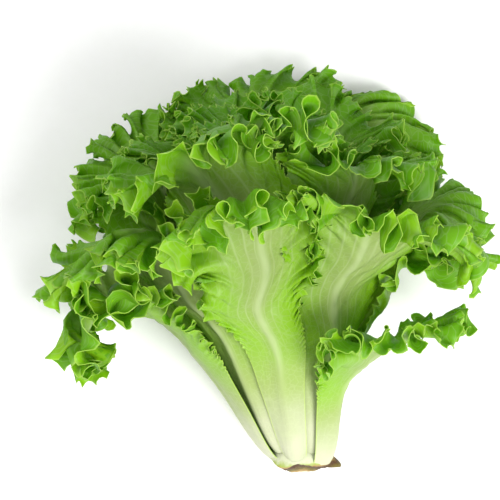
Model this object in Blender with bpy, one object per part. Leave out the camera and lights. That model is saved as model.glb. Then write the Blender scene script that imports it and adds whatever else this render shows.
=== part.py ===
"""A head of curly leaf lettuce, cut at the root and lying on its side.

One short stem carries spiral rows of separate leaves. Each leaf keeps to its own
layer of the head, from the outside in, so that no two of them cross.

Blender works in metres, +Z up. The lengths below are in millimetres and are
turned to metres when a mesh is made.
"""

import math

import bpy
import numpy as np

MM = 0.001

# The head as it lies: its root end towards -Y, its crown towards +Y
AXIS_RISE = 20.0  # degrees from the table up to the head's axis
AXIS_LEAN = 6.0  # degrees that the axis leans towards -X

# The stem
STEM_RADIUS = 18.0
STEM_LENGTH = 56.0
STEM_TIP_RADIUS = 3.0
CUT_RADIUS = 16.5
CUT_FLAT = 1.0  # how much of the cut's edge the table flattens
CUT_BEVEL = 0.8
STEM_SIDES = 24
STEM_HEIGHTS = (0.0, 1.0, 4.0, 12.0, 20.0, 28.0, 36.0, 46.0, STEM_LENGTH)  # of its rings
FIRST_LEAF_HEIGHT = 9.0  # bare stem between the cut and the lowest leaf

# The leaves
LEAF_COUNT = 24
FIRST_AZIMUTH = 188.0  # degrees round the axis; 0 is +X and 90 is up
GOLDEN_TURN = 137.508  # degrees from one leaf to the next
HEART_LAYER = 0.33  # leaves from this layer inward are the heart
OUTERMOST = 1.16  # no leaf grows further out than this layer
SHORTEST_LEAF = 198.0
EXTRA_LENGTH = 42.0
LENGTH_SPREAD = 0.03  # how much the lengths of leaves differ by chance
HALF_WIDTH_OUTER = 40.0  # degrees round the axis
HALF_WIDTH_ADDED = 26.0  # more for the innermost leaf
STALK_OUTER = 37.0  # half width of an outer leaf's stalk, in degrees
STALK_INNER = 20.0
SHOULDER = 0.42  # margin position where the side of a leaf turns into its top
SHOULDER_HEIGHT = 0.70  # share of the leaf's length that is below its shoulders
WAIST = (0.42, 0.98)  # share of the side's height where the stalk widens to the blade
RIB_SHARE = 0.80  # how much of the length the midrib has
BASE_GAP = 1.6  # from the stem's side to the middle of a leaf
EDGE_HALF = 0.45  # half the blade's thickness
RIB_HALF = 1.35  # half the midrib's thickness at the root
RIB_SIDE = 0.7  # share of the way to the margin where the midrib's thickness ends
TOOTH = 3.0  # how far each tooth of the cut edge stands out
VEIN_LENGTH = 90.0  # of the veins that end in teeth

# Leaves that grew away from the even spiral. Azimuth and flare are in degrees, and length
# and width are shares of an even leaf's.
STRAY_LEAVES = {
    0: {"azimuth": 182.0},
    1: {"azimuth": 345.0, "length": 0.92},
    2: {"width": 0.74},
    4: {"layer": 1.04, "azimuth": 36.0, "length": 0.72, "flare": 20.0},
    5: {"layer": 0.82, "azimuth": 146.0},
    7: {"layer": 0.852, "azimuth": 52.0, "length": 0.92},
    9: {"layer": 0.793, "azimuth": 6.0},
    20: {"layer": 0.153},
}
FLARE_REACH = (30.0, 85.0)  # where a flared leaf bends away from the head

# How the leaves lean from the axis: on the right, facing up, on the left and at the table
ROOT_SPREAD = (9.0, 9.0, 22.0, 9.0)  # more lean at the root of an outer leaf
BLADE_SPLAY = (45.0, 22.0, 37.0, 44.0)
TIP_CURL = (140.0, 95.0, 180.0, 45.0)
TIP_BEND = (75.0, 75.0, 105.0, 75.0)  # the length of leaf that the curl takes
LENGTH_SHARES = (0.84, 1.02, 0.95, 0.98)
HEART_SPLAY = 6.0
HEART_CURL = 62.0
HEART_BEND = 42.0
PAST_TIP = 10.0  # how far beyond the tip a curl would go on
ROOT_LEAN = 3.0
ROOT_TURN = 24.0  # how sharply a leaf leaves the stem
ROOT_REACH = 8.0
SPLAY_REACH = (24.0, 105.0)  # where a leaf bends from the root's lean to the blade's

# The waves of a leaf's margin
WAVE_LENGTH = 42.0
WAVE_REACH = 34.0  # how far in from the margin the wave fades
WAVED_FROM = (0.34, 0.66)  # share of the leaf's length where the waves start
WAVE_SLANT = 0.02  # how far a wave's crest turns aside, in radians a millimetre
WAVE_CHANGES = ((1.0, 170.0), (0.7, 97.0))  # radians and millimetres of its slow changes
WAVE_GAIN = 1.35
WAVE_UNEVEN = (0.2, 90.0)  # share and length of the change in the wave's height
LEANINGS = ((0.34, 260.0), (0.22, 7.5))  # how whole stretches lean: along the margin, up the leaf
FOLD_OVER = 0.10  # how far the crests lean over, for their length
CLEARANCE = 1.45  # kept from the middle of a leaf to the middle of the free room

# Slow bends that all the leaves share: cycles a metre, size, start from the cut, phases
DRIFTS = (
    ((9.0, 6.0, 8.0), 6.0, 60.0, (1.3, 0.4, 2.9)),
    ((16.0, 11.0, 14.0), 2.6, 90.0, (0.3, 3.4, 1.9)),
)
DRIFT_FULL = 190.0  # distance from the cut where the bends are full

# The weight of the head flattens its underside
PRESS_CEILING = 85.0  # above this height nothing is pressed
PRESS_DEPTH = 47.0  # how far below the table the crown would hang
PRESS_START = (45.0, 150.0)  # from the cut to where the whole depth is pressed
PRESS_CURVE = 1.3  # how the pressing grows towards the table
PRESS_SOFTNESS = 1.2
TABLE_TOUCH = 0.15  # height of the middle of a leaf that lies on the table
FLAT_SPOT = 0.9  # what is lower than this lies flat on the table

# The rows of points from midrib to margin, and how many points each has
ROW_WIDTHS = (0.14, 0.48, 0.80, 1.0)  # share of the way to the margin
ROW_POINTS = (15, 28, 54, 54)
RIB_POINTS = 9
LAYER_STEPS = 44  # steps in which the bend of a leaf is added up
SMOOTH_ANGLE = 50.0  # degrees; edges that turn more stay sharp

SEED = 7


def smooth(x, low, high):
    t = np.clip((x - low) / (high - low), 0, 1)
    return t * t * (3 - 2 * t)


def unit(v):
    return v / np.linalg.norm(v)


def head_axes():
    """The head's axis, the direction to its right and the one that faces up."""
    rise, lean = math.radians(AXIS_RISE), math.radians(AXIS_LEAN)
    along = np.array([
        -math.sin(lean) * math.cos(rise),
        math.cos(lean) * math.cos(rise),
        math.sin(rise),
    ])
    facing = unit(np.array([0, 0, 1.0]) - along[2] * along)
    return along, np.cross(along, facing), facing


ALONG, RIGHT, FACING = head_axes()
CUT_CENTRE = np.array([0, 0, CUT_RADIUS * FACING[2] - CUT_FLAT])


def by_direction(azimuth, values):
    """A value that changes smoothly round the axis between four directions."""
    right, facing, left, floor = values
    c, s = np.cos(azimuth), np.sin(azimuth)
    return np.where(c > 0, right, left) * c * c + np.where(s > 0, facing, floor) * s * s


def layer_length(layer):
    """Length of a leaf by its layer: 1 is the outermost, 0 the innermost."""
    inward = np.clip(OUTERMOST - np.clip(layer, 0, 1), 0, 1)
    return SHORTEST_LEAF + EXTRA_LENGTH * np.sin(math.pi * inward**0.8)


def splay(distance, layer, azimuth):
    """Angle between a leaf and the axis, at a distance up the leaf."""
    lean = ROOT_LEAN + by_direction(azimuth, ROOT_SPREAD) * layer
    root = lean + ROOT_TURN * layer * np.exp(-distance / ROOT_REACH)
    blade = HEART_SPLAY + (by_direction(azimuth, BLADE_SPLAY) - HEART_SPLAY) * layer**1.1
    outer = layer**1.9
    curl = by_direction(azimuth, TIP_CURL) * outer + HEART_CURL * (1 - outer)
    bend = by_direction(azimuth, TIP_BEND) * outer + HEART_BEND * (1 - outer)
    total = layer_length(layer) * by_direction(azimuth, LENGTH_SHARES)
    degrees = root + (blade - lean) * smooth(distance, *SPLAY_REACH)
    degrees = degrees + curl * smooth(distance, total - bend, total + PAST_TIP)
    return np.radians(degrees)


def stem_radius(height):
    share = np.clip(1 - height / STEM_LENGTH, 0, 1)
    return STEM_TIP_RADIUS + (STEM_RADIUS - STEM_TIP_RADIUS) * share**0.85


def layer_point(distance, layer, azimuth, flare=0.0):
    """Radius from the axis and height along it, at a distance up a layer."""
    layer = np.clip(layer, 0, OUTERMOST)
    height = FIRST_LEAF_HEIGHT + (STEM_LENGTH - FIRST_LEAF_HEIGHT) * (1 - layer)
    radius = stem_radius(height) + BASE_GAP
    for step in range(LAYER_STEPS):
        here = (step + 0.5) / LAYER_STEPS * distance
        angle = splay(here, layer, azimuth) + flare * smooth(here, *FLARE_REACH)
        radius = radius + np.sin(angle) * distance / LAYER_STEPS
        height = height + np.cos(angle) * distance / LAYER_STEPS
    return radius, height


def in_space(radius, height, azimuth):
    return (
        CUT_CENTRE
        + height[..., None] * ALONG
        + (radius * np.cos(azimuth))[..., None] * RIGHT
        + (radius * np.sin(azimuth))[..., None] * FACING
    )


def drift(points):
    """Slow bends that all the leaves share, so that they stay apart."""
    for cycles, size, start, phases in DRIFTS:
        turn = 2 * math.pi * MM * points
        x, y, z = turn[..., 0], turn[..., 1], turn[..., 2]
        one, two, three = cycles
        bend = np.stack(
            [
                np.sin(one * y + two * z + phases[0]),
                np.sin(three * x + one * z + phases[1]),
                np.sin(one * x - two * y + phases[2]),
            ],
            axis=-1,
        )
        out = np.linalg.norm(points - CUT_CENTRE, axis=-1)
        points = points + size * smooth(out, start, DRIFT_FULL)[..., None] * bend
    return points


def press(points):
    """Flattens what would go through the table, without changing the order of layers."""
    y, z = points[..., 1], points[..., 2]
    depth = PRESS_DEPTH * smooth(y, *PRESS_START)
    span = PRESS_CEILING + depth
    t = np.clip((PRESS_CEILING - z) / span, 0, None)
    pressed = PRESS_CEILING - span * (t - depth / span * t**PRESS_CURVE)
    pressed = np.where(z < PRESS_CEILING, pressed, z)
    above = (pressed - TABLE_TOUCH) / PRESS_SOFTNESS
    pressed = TABLE_TOUCH + PRESS_SOFTNESS * np.logaddexp(0, above)
    return np.stack([points[..., 0], y, pressed], axis=-1)


def leaf_table():
    """Where each leaf grows, outermost first."""
    draw = np.random.default_rng(SEED)
    leaves = []
    for k in range(LEAF_COUNT):
        stray = STRAY_LEAVES.get(k, {})
        layer = stray.get("layer", 1 - (k + 0.5) / LEAF_COUNT)
        azimuth = math.radians(stray.get("azimuth", (FIRST_AZIMUTH + k * GOLDEN_TURN) % 360))
        length = float(layer_length(layer) * by_direction(azimuth, LENGTH_SHARES))
        length *= 1 + LENGTH_SPREAD * draw.standard_normal()
        inner = k / (LEAF_COUNT - 1)
        half_width = HALF_WIDTH_OUTER + HALF_WIDTH_ADDED * inner**2.2
        stalk_width = STALK_OUTER + (STALK_INNER - STALK_OUTER) * inner**0.6
        leaves.append({
            "name": f"leaf_{k + 1:02d}",
            "layer": layer,
            "azimuth": azimuth,
            "length": length * stray.get("length", 1.0),
            "half_width": math.radians(half_width) * stray.get("width", 1.0),
            "stalk_width": math.radians(stalk_width) * stray.get("width", 1.0),
            "flare": math.radians(stray.get("flare", 0.0)),
            "phases": np.random.default_rng(100 + k).uniform(0, 2 * math.pi, 16),
        })
    for leaf in leaves:
        leaf["room"] = free_room(leaf, leaves) / 2
    return leaves


def free_room(leaf, leaves):
    """Distance in layers to the nearest other leaf that it overlaps."""
    nearest = 1.0
    for other in leaves:
        apart = abs((leaf["azimuth"] - other["azimuth"] + math.pi) % (2 * math.pi) - math.pi)
        if other is not leaf and apart < leaf["half_width"] + other["half_width"]:
            nearest = min(nearest, abs(leaf["layer"] - other["layer"]))
    return nearest


def outline(leaf, position):
    """Angle from the midrib and share of the length on the margin.

    position runs from -1 at one root corner through 0 at the tip to 1 at the other.
    """
    side = np.clip((1 - np.abs(position)) / (1 - SHOULDER), 0, 1)
    top = np.clip((SHOULDER - np.abs(position)) / SHOULDER, 0, 1) * math.pi / 2
    stalk, blade = leaf["stalk_width"], leaf["half_width"]
    waist = stalk + (blade - stalk) * smooth(side, *WAIST)
    on_side = np.abs(position) > SHOULDER
    across = np.where(on_side, waist, blade * np.cos(top) ** 0.75)
    top_height = SHOULDER_HEIGHT + (1 - SHOULDER_HEIGHT) * np.sin(top) ** 0.9
    along = np.where(on_side, SHOULDER_HEIGHT * side, top_height)
    return np.sign(position) * across, along


def flat_point(leaf, position, share):
    """Azimuth and distance up the leaf, a share of the way along a vein."""
    across, along = outline(leaf, position)
    rib = RIB_SHARE * (1 - np.abs(position)) ** 0.85
    distance = leaf["length"] * (rib + (along - rib) * share)
    return leaf["azimuth"] + across * share**0.9, distance


def margin_length(leaf):
    """Length of the margin from the tip to each of many positions."""
    position = np.linspace(-1, 1, 241)
    azimuth, distance = flat_point(leaf, position, np.ones_like(position))
    layer = leaf["layer"] + 0 * position
    points = in_space(*layer_point(distance, layer, azimuth, leaf["flare"]), azimuth)
    steps = np.linalg.norm(np.diff(points, axis=0), axis=1)
    length = np.concatenate([[0], np.cumsum(steps)])
    return position, length - np.interp(0, position, length)


def lying_point(distance, layer, azimuth, flare=0.0):
    """A point of a layer in the head as it lies on the table."""
    return press(drift(in_space(*layer_point(distance, layer, azimuth, flare), azimuth)))


def layer_spacing(distance, layer, azimuth):
    """Millimetres from layer 0 to layer 1, were all the space between them as it is here."""
    across = lying_point(distance, layer + 0.01, azimuth)
    across = (across - lying_point(distance, layer - 0.01, azimuth)) / 0.02
    up = lying_point(distance + 1, layer, azimuth) - lying_point(distance - 1, layer, azimuth)
    up = up / np.linalg.norm(up, axis=-1)[..., None]
    across = across - np.sum(across * up, axis=-1)[..., None] * up
    return np.linalg.norm(across, axis=-1)


def leaf_surface(leaf, position, share):
    """Points of the leaf's middle surface."""
    phases, flare = leaf["phases"], leaf["flare"]
    positions, lengths = margin_length(leaf)
    run = np.interp(position, positions, lengths)
    azimuth, distance = flat_point(leaf, position, share)
    edge_azimuth, edge_distance = flat_point(leaf, position, np.ones_like(share))
    layer = leaf["layer"] + 0 * run
    here = in_space(*layer_point(distance, layer, azimuth, flare), azimuth)
    edge = in_space(*layer_point(edge_distance, layer, edge_azimuth, flare), edge_azimuth)
    inside = np.linalg.norm(here - edge, axis=-1)
    up = distance / leaf["length"]
    turn = 2 * math.pi * run
    phase = turn / WAVE_LENGTH + phases[0] + WAVE_SLANT * inside
    for (change, length), start in zip(WAVE_CHANGES, phases[1:3]):
        phase = phase + change * np.sin(turn / length + start)
    on_blade = smooth(up, *WAVED_FROM)
    height = np.exp(-((inside / WAVE_REACH) ** 1.4)) * on_blade
    uneven, length = WAVE_UNEVEN
    height = height * (1 - uneven + uneven * np.sin(turn / length + phases[3]))
    (along, length), (upward, cycles) = LEANINGS
    slow = along * np.sin(turn / length + phases[4]) + upward * np.sin(cycles * up + phases[5])
    slow = slow * share * on_blade
    room = np.clip(leaf["room"] - CLEARANCE / layer_spacing(distance, layer, azimuth), 0, None)
    wave = room * np.tanh(WAVE_GAIN * (height * np.sin(phase) + slow))
    fold = -FOLD_OVER * WAVE_LENGTH * np.sin(2 * phase) * height
    moved = np.interp(run + fold, lengths, positions)
    azimuth, distance = flat_point(leaf, moved, share)
    return lying_point(distance, layer + wave, azimuth, flare)


def stitched(outer, outer_at, inner, inner_at):
    """Triangles between two rows of point numbers, each with its positions."""
    triangles, i, j = [], 0, 0
    while i < len(outer) - 1 or j < len(inner) - 1:
        ahead = outer_at[i + 1] if i < len(outer) - 1 else math.inf
        behind = inner_at[j + 1] if j < len(inner) - 1 else math.inf
        if ahead <= behind:
            triangles.append((outer[i], outer[i + 1], inner[j]))
            i += 1
        else:
            triangles.append((outer[i], inner[j + 1], inner[j]))
            j += 1
    return [t for t in triangles if len(set(t)) == 3]


def margin_positions(count):
    """Positions along the margin, closer together where it waves."""
    even = np.linspace(-1, 1, count)
    return np.sign(even) * np.abs(even) ** 1.12


def leaf_sheet(leaf):
    """Points, triangles and boundary of the leaf's middle surface, with half thicknesses."""
    rib_at = np.linspace(-1, 0, RIB_POINTS)
    rows_at = [rib_at] + [margin_positions(count) for count in ROW_POINTS]
    shares = (0.0,) + ROW_WIDTHS
    points, halves, rows, first = [], [], [], 0
    for at, share in zip(rows_at, shares):
        width = np.full(len(at), share)
        if share == 1.0:
            width[1:-1:2] += TOOTH / VEIN_LENGTH
        points.append(leaf_surface(leaf, at, width))
        _, distance = flat_point(leaf, at, width)
        up = distance / leaf["length"]
        rib = (RIB_HALF * (0.45 + 0.55 * leaf["layer"]) - EDGE_HALF) * (1 - 0.75 * up)
        halves.append(EDGE_HALF + np.clip(rib, 0, None) * max(0, 1 - share / RIB_SIDE))
        rows.append(np.arange(first, first + len(at)))
        first += len(at)
    folded_rib = np.concatenate([rows[0], rows[0][-2::-1]])
    folded_at = np.concatenate([rib_at, -rib_at[-2::-1]])
    triangles = stitched(rows[1], rows_at[1], folded_rib, folded_at)
    for k in range(1, len(rows) - 1):
        triangles += stitched(rows[k + 1], rows_at[k + 1], rows[k], rows_at[k])
    boundary = list(rows[-1])
    boundary += [row[-1] for row in rows[-2:0:-1]] + [rows[0][0]] + [row[0] for row in rows[1:-1]]
    return np.concatenate(points), triangles, boundary, np.concatenate(halves)


def point_normals(points, triangles):
    corners = points[np.array(triangles)]
    faces = np.cross(corners[:, 1] - corners[:, 0], corners[:, 2] - corners[:, 0])
    normals = np.zeros_like(points)
    for k in range(3):
        np.add.at(normals, np.array(triangles)[:, k], faces)
    return normals / np.linalg.norm(normals, axis=1)[:, None]


def leaf_solid(leaf):
    """The sheet made a closed solid, split into triangles alike on both faces."""
    points, triangles, boundary, halves = leaf_sheet(leaf)
    normals = point_normals(points, triangles) * halves[:, None]
    front, back = points + normals, points - normals
    lower = np.minimum(front[:, 2], back[:, 2])
    on_table = lower < FLAT_SPOT
    front[on_table, 2] -= lower[on_table]
    back[on_table, 2] -= lower[on_table]
    count = len(points)
    faces = [tuple(t) for t in triangles]
    faces += [(c + count, b + count, a + count) for a, b, c in triangles]
    for a, b in zip(boundary, boundary[1:] + boundary[:1]):
        faces += [(b, a, a + count), (b, a + count, b + count)]
    return np.concatenate([front, back]), faces


def turned_stem():
    """The stem: a cut face, a short straight side, then the taper that carries the leaves."""
    radii = [CUT_RADIUS - CUT_BEVEL, CUT_RADIUS]
    radii += [float(stem_radius(height)) for height in STEM_HEIGHTS[2:]]
    angles = np.arange(STEM_SIDES) / STEM_SIDES * 2 * math.pi
    rings = [in_space(np.full(STEM_SIDES, radius), np.full(STEM_SIDES, height), angles)
             for radius, height in zip(radii, STEM_HEIGHTS)]
    points = np.concatenate(rings)
    points[points[:, 2] < FLAT_SPOT, 2] = 0
    faces = []
    for ring in range(len(rings) - 1):
        for k in range(STEM_SIDES):
            a, b = ring * STEM_SIDES + k, ring * STEM_SIDES + (k + 1) % STEM_SIDES
            faces.append((b, a, a + STEM_SIDES, b + STEM_SIDES))
    faces.append(tuple(range(STEM_SIDES)))
    top = (len(rings) - 1) * STEM_SIDES
    faces.append(tuple(range(top, top + STEM_SIDES))[::-1])
    return points, faces


def painted(name, colour, roughness):
    material = bpy.data.materials.new(name)
    material.use_nodes = True
    shader = material.node_tree.nodes["Principled BSDF"]
    shader.inputs["Base Color"].default_value = (*colour, 1)
    shader.inputs["Roughness"].default_value = roughness
    shader.inputs["Metallic"].default_value = 0.0
    return material


def add_object(name, points, faces, material):
    mesh = bpy.data.meshes.new(name)
    mesh.from_pydata((points * MM).tolist(), [], [tuple(int(i) for i in f) for f in faces])
    mesh.materials.append(material)
    mesh.shade_smooth()
    mesh.set_sharp_from_angle(angle=math.radians(SMOOTH_ANGLE))
    thing = bpy.data.objects.new(name, mesh)
    bpy.context.scene.collection.objects.link(thing)
    return thing


def main():
    for thing in list(bpy.data.objects):
        bpy.data.objects.remove(thing)
    stem_flesh = painted("pale stem flesh", (0.80, 0.82, 0.62), 0.5)
    outer_green = painted("outer leaf green", (0.30, 0.50, 0.10), 0.45)
    heart_green = painted("heart leaf green", (0.42, 0.62, 0.16), 0.45)
    pieces = [("stem", *turned_stem(), stem_flesh)]
    for leaf in leaf_table():
        green = outer_green if leaf["layer"] > HEART_LAYER else heart_green
        pieces.append((leaf["name"], *leaf_solid(leaf), green))
    low = np.min([points.min(axis=0) for _, points, _, _ in pieces], axis=0)
    high = np.max([points.max(axis=0) for _, points, _, _ in pieces], axis=0)
    middle = np.array([(low[0] + high[0]) / 2, (low[1] + high[1]) / 2, low[2]])
    for name, points, faces, material in pieces:
        add_object(name, points - middle, faces, material)


main()
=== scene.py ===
# A head of curly leaf lettuce on a pale table: the looks of the leaves, the root end and the stage
import math
import time

import bpy
import numpy as np
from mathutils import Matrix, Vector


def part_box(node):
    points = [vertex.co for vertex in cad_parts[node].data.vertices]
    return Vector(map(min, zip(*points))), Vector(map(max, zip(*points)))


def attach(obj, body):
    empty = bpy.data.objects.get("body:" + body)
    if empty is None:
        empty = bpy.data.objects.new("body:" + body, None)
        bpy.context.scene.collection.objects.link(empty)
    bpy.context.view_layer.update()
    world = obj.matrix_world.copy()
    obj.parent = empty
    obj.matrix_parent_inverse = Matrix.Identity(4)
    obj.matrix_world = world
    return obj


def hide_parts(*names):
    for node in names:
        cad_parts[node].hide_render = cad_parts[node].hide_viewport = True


startTime = time.time()
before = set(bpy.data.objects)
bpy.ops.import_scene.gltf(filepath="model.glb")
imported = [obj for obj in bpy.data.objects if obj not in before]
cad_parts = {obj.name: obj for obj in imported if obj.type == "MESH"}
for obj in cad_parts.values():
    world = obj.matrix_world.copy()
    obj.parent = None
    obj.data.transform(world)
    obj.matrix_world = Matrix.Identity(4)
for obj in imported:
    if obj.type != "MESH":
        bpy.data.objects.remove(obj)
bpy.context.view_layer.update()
mm = 0.001


def report(words):
    print(f"{time.time() - startTime:6.1f} s  {words}")


# The growth of the head, in millimetres and degrees, as the solids were made

head = {
    "axisRise": 20.0,  # from the table up to the head's axis
    "axisLean": 6.0,  # of the axis towards -X
    "stemRadius": 18.0,
    "stemLength": 56.0,
    "stemTipRadius": 3.0,
    "cutRadius": 16.5,
    "cutFlat": 1.0,
    "cutBevel": 0.8,
    "stemSides": 24,
    "stemHeights": (0.0, 1.0, 4.0, 12.0, 20.0, 28.0, 36.0, 46.0, 56.0),  # of its rings
    "firstLeafHeight": 9.0,
    "baseGap": 1.6,
    "leafCount": 24,
    "heartFrom": 16,  # the first leaf of the heart
    "outermost": 1.16,  # no leaf grows further out than this layer
    "firstAzimuth": 188.0,
    "goldenTurn": 137.508,
    "shortestLeaf": 198.0,
    "extraLength": 42.0,
    "heartCurl": 62.0,  # how far the tips of the innermost leaves turn outward
    "heartBend": 42.0,  # the length of leaf that turns there
    "lengthSpread": 0.03,
    "halfWidthOuter": 40.0,
    "halfWidthAdded": 26.0,
    "stalkOuter": 37.0,
    "stalkInner": 20.0,
    "shoulder": 0.42,
    "shoulderHeight": 0.70,
    "waist": (0.42, 0.98),
    "ribShare": 0.80,
    "bladeSplay": (45.0, 22.0, 37.0, 44.0),  # right, facing up, left, at the table
    "tipCurl": (140.0, 95.0, 180.0, 45.0),
    "tipBend": (75.0, 75.0, 105.0, 75.0),
    "lengthShares": (0.84, 1.02, 0.95, 0.98),
    "heartSplay": 6.0,
    "pastTip": 10.0,
    "rootLean": 3.0,
    "rootSpread": (9.0, 9.0, 22.0, 9.0),
    "rootTurn": 24.0,
    "rootReach": 8.0,
    "splayReach": (24.0, 105.0),
    "flareReach": (30.0, 85.0),
    "waveLength": 42.0,
    "waveReach": 34.0,
    "wavedFrom": (0.34, 0.66),
    "waveSlant": 0.02,  # how far a wave's crest turns aside, in radians a millimetre
    "waveChanges": ((1.0, 170.0), (0.7, 97.0)),  # radians and millimetres of its slow changes
    "waveGain": 1.35,
    "waveUneven": (0.2, 90.0),  # share and length of the change in the wave's height
    "leanings": ((0.34, 260.0), (0.22, 7.5)),  # of whole stretches, along the margin and up the leaf
    "foldOver": 0.10,  # how far the crests lean over, for their length
    "clearance": 1.45,
    "layerSteps": 44,  # steps in which the bend of a leaf is added up
    "drifts": (  # cycles a metre, size, start from the cut, phases
        ((9.0, 6.0, 8.0), 6.0, 60.0, (1.3, 0.4, 2.9)),
        ((16.0, 11.0, 14.0), 2.6, 90.0, (0.3, 3.4, 1.9)),
    ),
    "driftFull": 190.0,
    "pressCeiling": 85.0,
    "pressDepth": 47.0,
    "pressStart": (45.0, 150.0),
    "pressCurve": 1.3,
    "pressSoftness": 1.2,
    "tableTouch": 0.15,
    "seed": 7,
}

# Leaves that grew away from the even spiral
strayLeaves = {
    0: {"azimuth": 182.0},
    1: {"azimuth": 345.0, "length": 0.92},
    2: {"width": 0.74},
    4: {"layer": 1.04, "azimuth": 36.0, "length": 0.72, "flare": 20.0},
    5: {"layer": 0.82, "azimuth": 146.0},
    7: {"layer": 0.852, "azimuth": 52.0, "length": 0.92},
    9: {"layer": 0.793, "azimuth": 6.0},
    20: {"layer": 0.153},
}


def smooth(x, low, high):
    t = np.clip((x - low) / (high - low), 0, 1)
    return t * t * (3 - 2 * t)


def unit(v):
    return v / np.maximum(np.linalg.norm(v, axis=-1), 1e-12)[..., None]


def headAxes():
    rise, lean = math.radians(head["axisRise"]), math.radians(head["axisLean"])
    along = np.array([
        -math.sin(lean) * math.cos(rise),
        math.cos(lean) * math.cos(rise),
        math.sin(rise),
    ])
    facing = unit(np.array([0, 0, 1.0]) - along[2] * along)
    return along, np.cross(along, facing), facing


alongAxis, rightAxis, facingAxis = headAxes()
cutCentre = np.array([0, 0, head["cutRadius"] * facingAxis[2] - head["cutFlat"]])


def byDirection(azimuth, name):
    right, facing, left, floor = head[name]
    c, s = np.cos(azimuth), np.sin(azimuth)
    return np.where(c > 0, right, left) * c * c + np.where(s > 0, facing, floor) * s * s


def layerLength(layer):
    inward = np.clip(head["outermost"] - np.clip(layer, 0, 1), 0, 1)
    return head["shortestLeaf"] + head["extraLength"] * np.sin(math.pi * inward**0.8)


def splay(distance, layer, azimuth):
    lean = head["rootLean"] + byDirection(azimuth, "rootSpread") * layer
    root = lean + head["rootTurn"] * layer * np.exp(-distance / head["rootReach"])
    heartSplay = head["heartSplay"]
    blade = heartSplay + (byDirection(azimuth, "bladeSplay") - heartSplay) * layer**1.1
    outer = layer**1.9
    curl = byDirection(azimuth, "tipCurl") * outer + head["heartCurl"] * (1 - outer)
    bend = byDirection(azimuth, "tipBend") * outer + head["heartBend"] * (1 - outer)
    total = layerLength(layer) * byDirection(azimuth, "lengthShares")
    degrees = root + (blade - lean) * smooth(distance, *head["splayReach"])
    degrees = degrees + curl * smooth(distance, total - bend, total + head["pastTip"])
    return np.radians(degrees)


def stemRadius(height):
    share = np.clip(1 - height / head["stemLength"], 0, 1)
    return head["stemTipRadius"] + (head["stemRadius"] - head["stemTipRadius"]) * share**0.85


def layerPoint(distance, layer, azimuth, flare=0.0):
    # Radius from the axis and height along it, at a distance up a layer
    layer, steps = np.clip(layer, 0, head["outermost"]), head["layerSteps"]
    height = head["firstLeafHeight"]
    height = height + (head["stemLength"] - height) * (1 - layer)
    radius = stemRadius(height) + head["baseGap"]
    for step in range(steps):
        here = (step + 0.5) / steps * distance
        angle = splay(here, layer, azimuth) + flare * smooth(here, *head["flareReach"])
        radius = radius + np.sin(angle) * distance / steps
        height = height + np.cos(angle) * distance / steps
    return radius, height


def inSpace(radius, height, azimuth):
    return (
        cutCentre
        + height[..., None] * alongAxis
        + (radius * np.cos(azimuth))[..., None] * rightAxis
        + (radius * np.sin(azimuth))[..., None] * facingAxis
    )


def drift(points):
    # Slow bends that all the leaves share, so that they stay apart
    for cycles, size, start, phases in head["drifts"]:
        turn = 2 * math.pi * mm * points
        x, y, z = turn[..., 0], turn[..., 1], turn[..., 2]
        one, two, three = cycles
        bend = np.stack(
            [
                np.sin(one * y + two * z + phases[0]),
                np.sin(three * x + one * z + phases[1]),
                np.sin(one * x - two * y + phases[2]),
            ],
            axis=-1,
        )
        out = np.linalg.norm(points - cutCentre, axis=-1)
        points = points + size * smooth(out, start, head["driftFull"])[..., None] * bend
    return points


def press(points):
    # The weight of the head flattens its underside
    y, z = points[..., 1], points[..., 2]
    depth = head["pressDepth"] * smooth(y, *head["pressStart"])
    span = head["pressCeiling"] + depth
    t = np.clip((head["pressCeiling"] - z) / span, 0, None)
    pressed = head["pressCeiling"] - span * (t - depth / span * t ** head["pressCurve"])
    pressed = np.where(z < head["pressCeiling"], pressed, z)
    touch, softness = head["tableTouch"], head["pressSoftness"]
    pressed = touch + softness * np.logaddexp(0, (pressed - touch) / softness)
    return np.stack([points[..., 0], y, pressed], axis=-1)


def leafTable():
    draw = np.random.default_rng(head["seed"])
    leaves = []
    for k in range(head["leafCount"]):
        stray = strayLeaves.get(k, {})
        layer = stray.get("layer", 1 - (k + 0.5) / head["leafCount"])
        even = (head["firstAzimuth"] + k * head["goldenTurn"]) % 360
        azimuth = math.radians(stray.get("azimuth", even))
        length = float(layerLength(layer) * byDirection(azimuth, "lengthShares"))
        length *= 1 + head["lengthSpread"] * draw.standard_normal()
        inner = k / (head["leafCount"] - 1)
        halfWidth = head["halfWidthOuter"] + head["halfWidthAdded"] * inner**2.2
        stalk = head["stalkOuter"] + (head["stalkInner"] - head["stalkOuter"]) * inner**0.6
        leaves.append({
            "name": f"leaf_{k + 1:02d}",
            "number": k,
            "layer": layer,
            "azimuth": azimuth,
            "length": length * stray.get("length", 1.0),
            "halfWidth": math.radians(halfWidth) * stray.get("width", 1.0),
            "stalkWidth": math.radians(stalk) * stray.get("width", 1.0),
            "flare": math.radians(stray.get("flare", 0.0)),
            "phases": np.random.default_rng(100 + k).uniform(0, 2 * math.pi, 16),
        })
    for leaf in leaves:
        leaf["room"] = freeRoom(leaf, leaves) / 2
    return leaves


def freeRoom(leaf, leaves):
    nearest = 1.0
    for other in leaves:
        apart = abs((leaf["azimuth"] - other["azimuth"] + math.pi) % (2 * math.pi) - math.pi)
        if other is not leaf and apart < leaf["halfWidth"] + other["halfWidth"]:
            nearest = min(nearest, abs(leaf["layer"] - other["layer"]))
    return nearest


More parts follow.
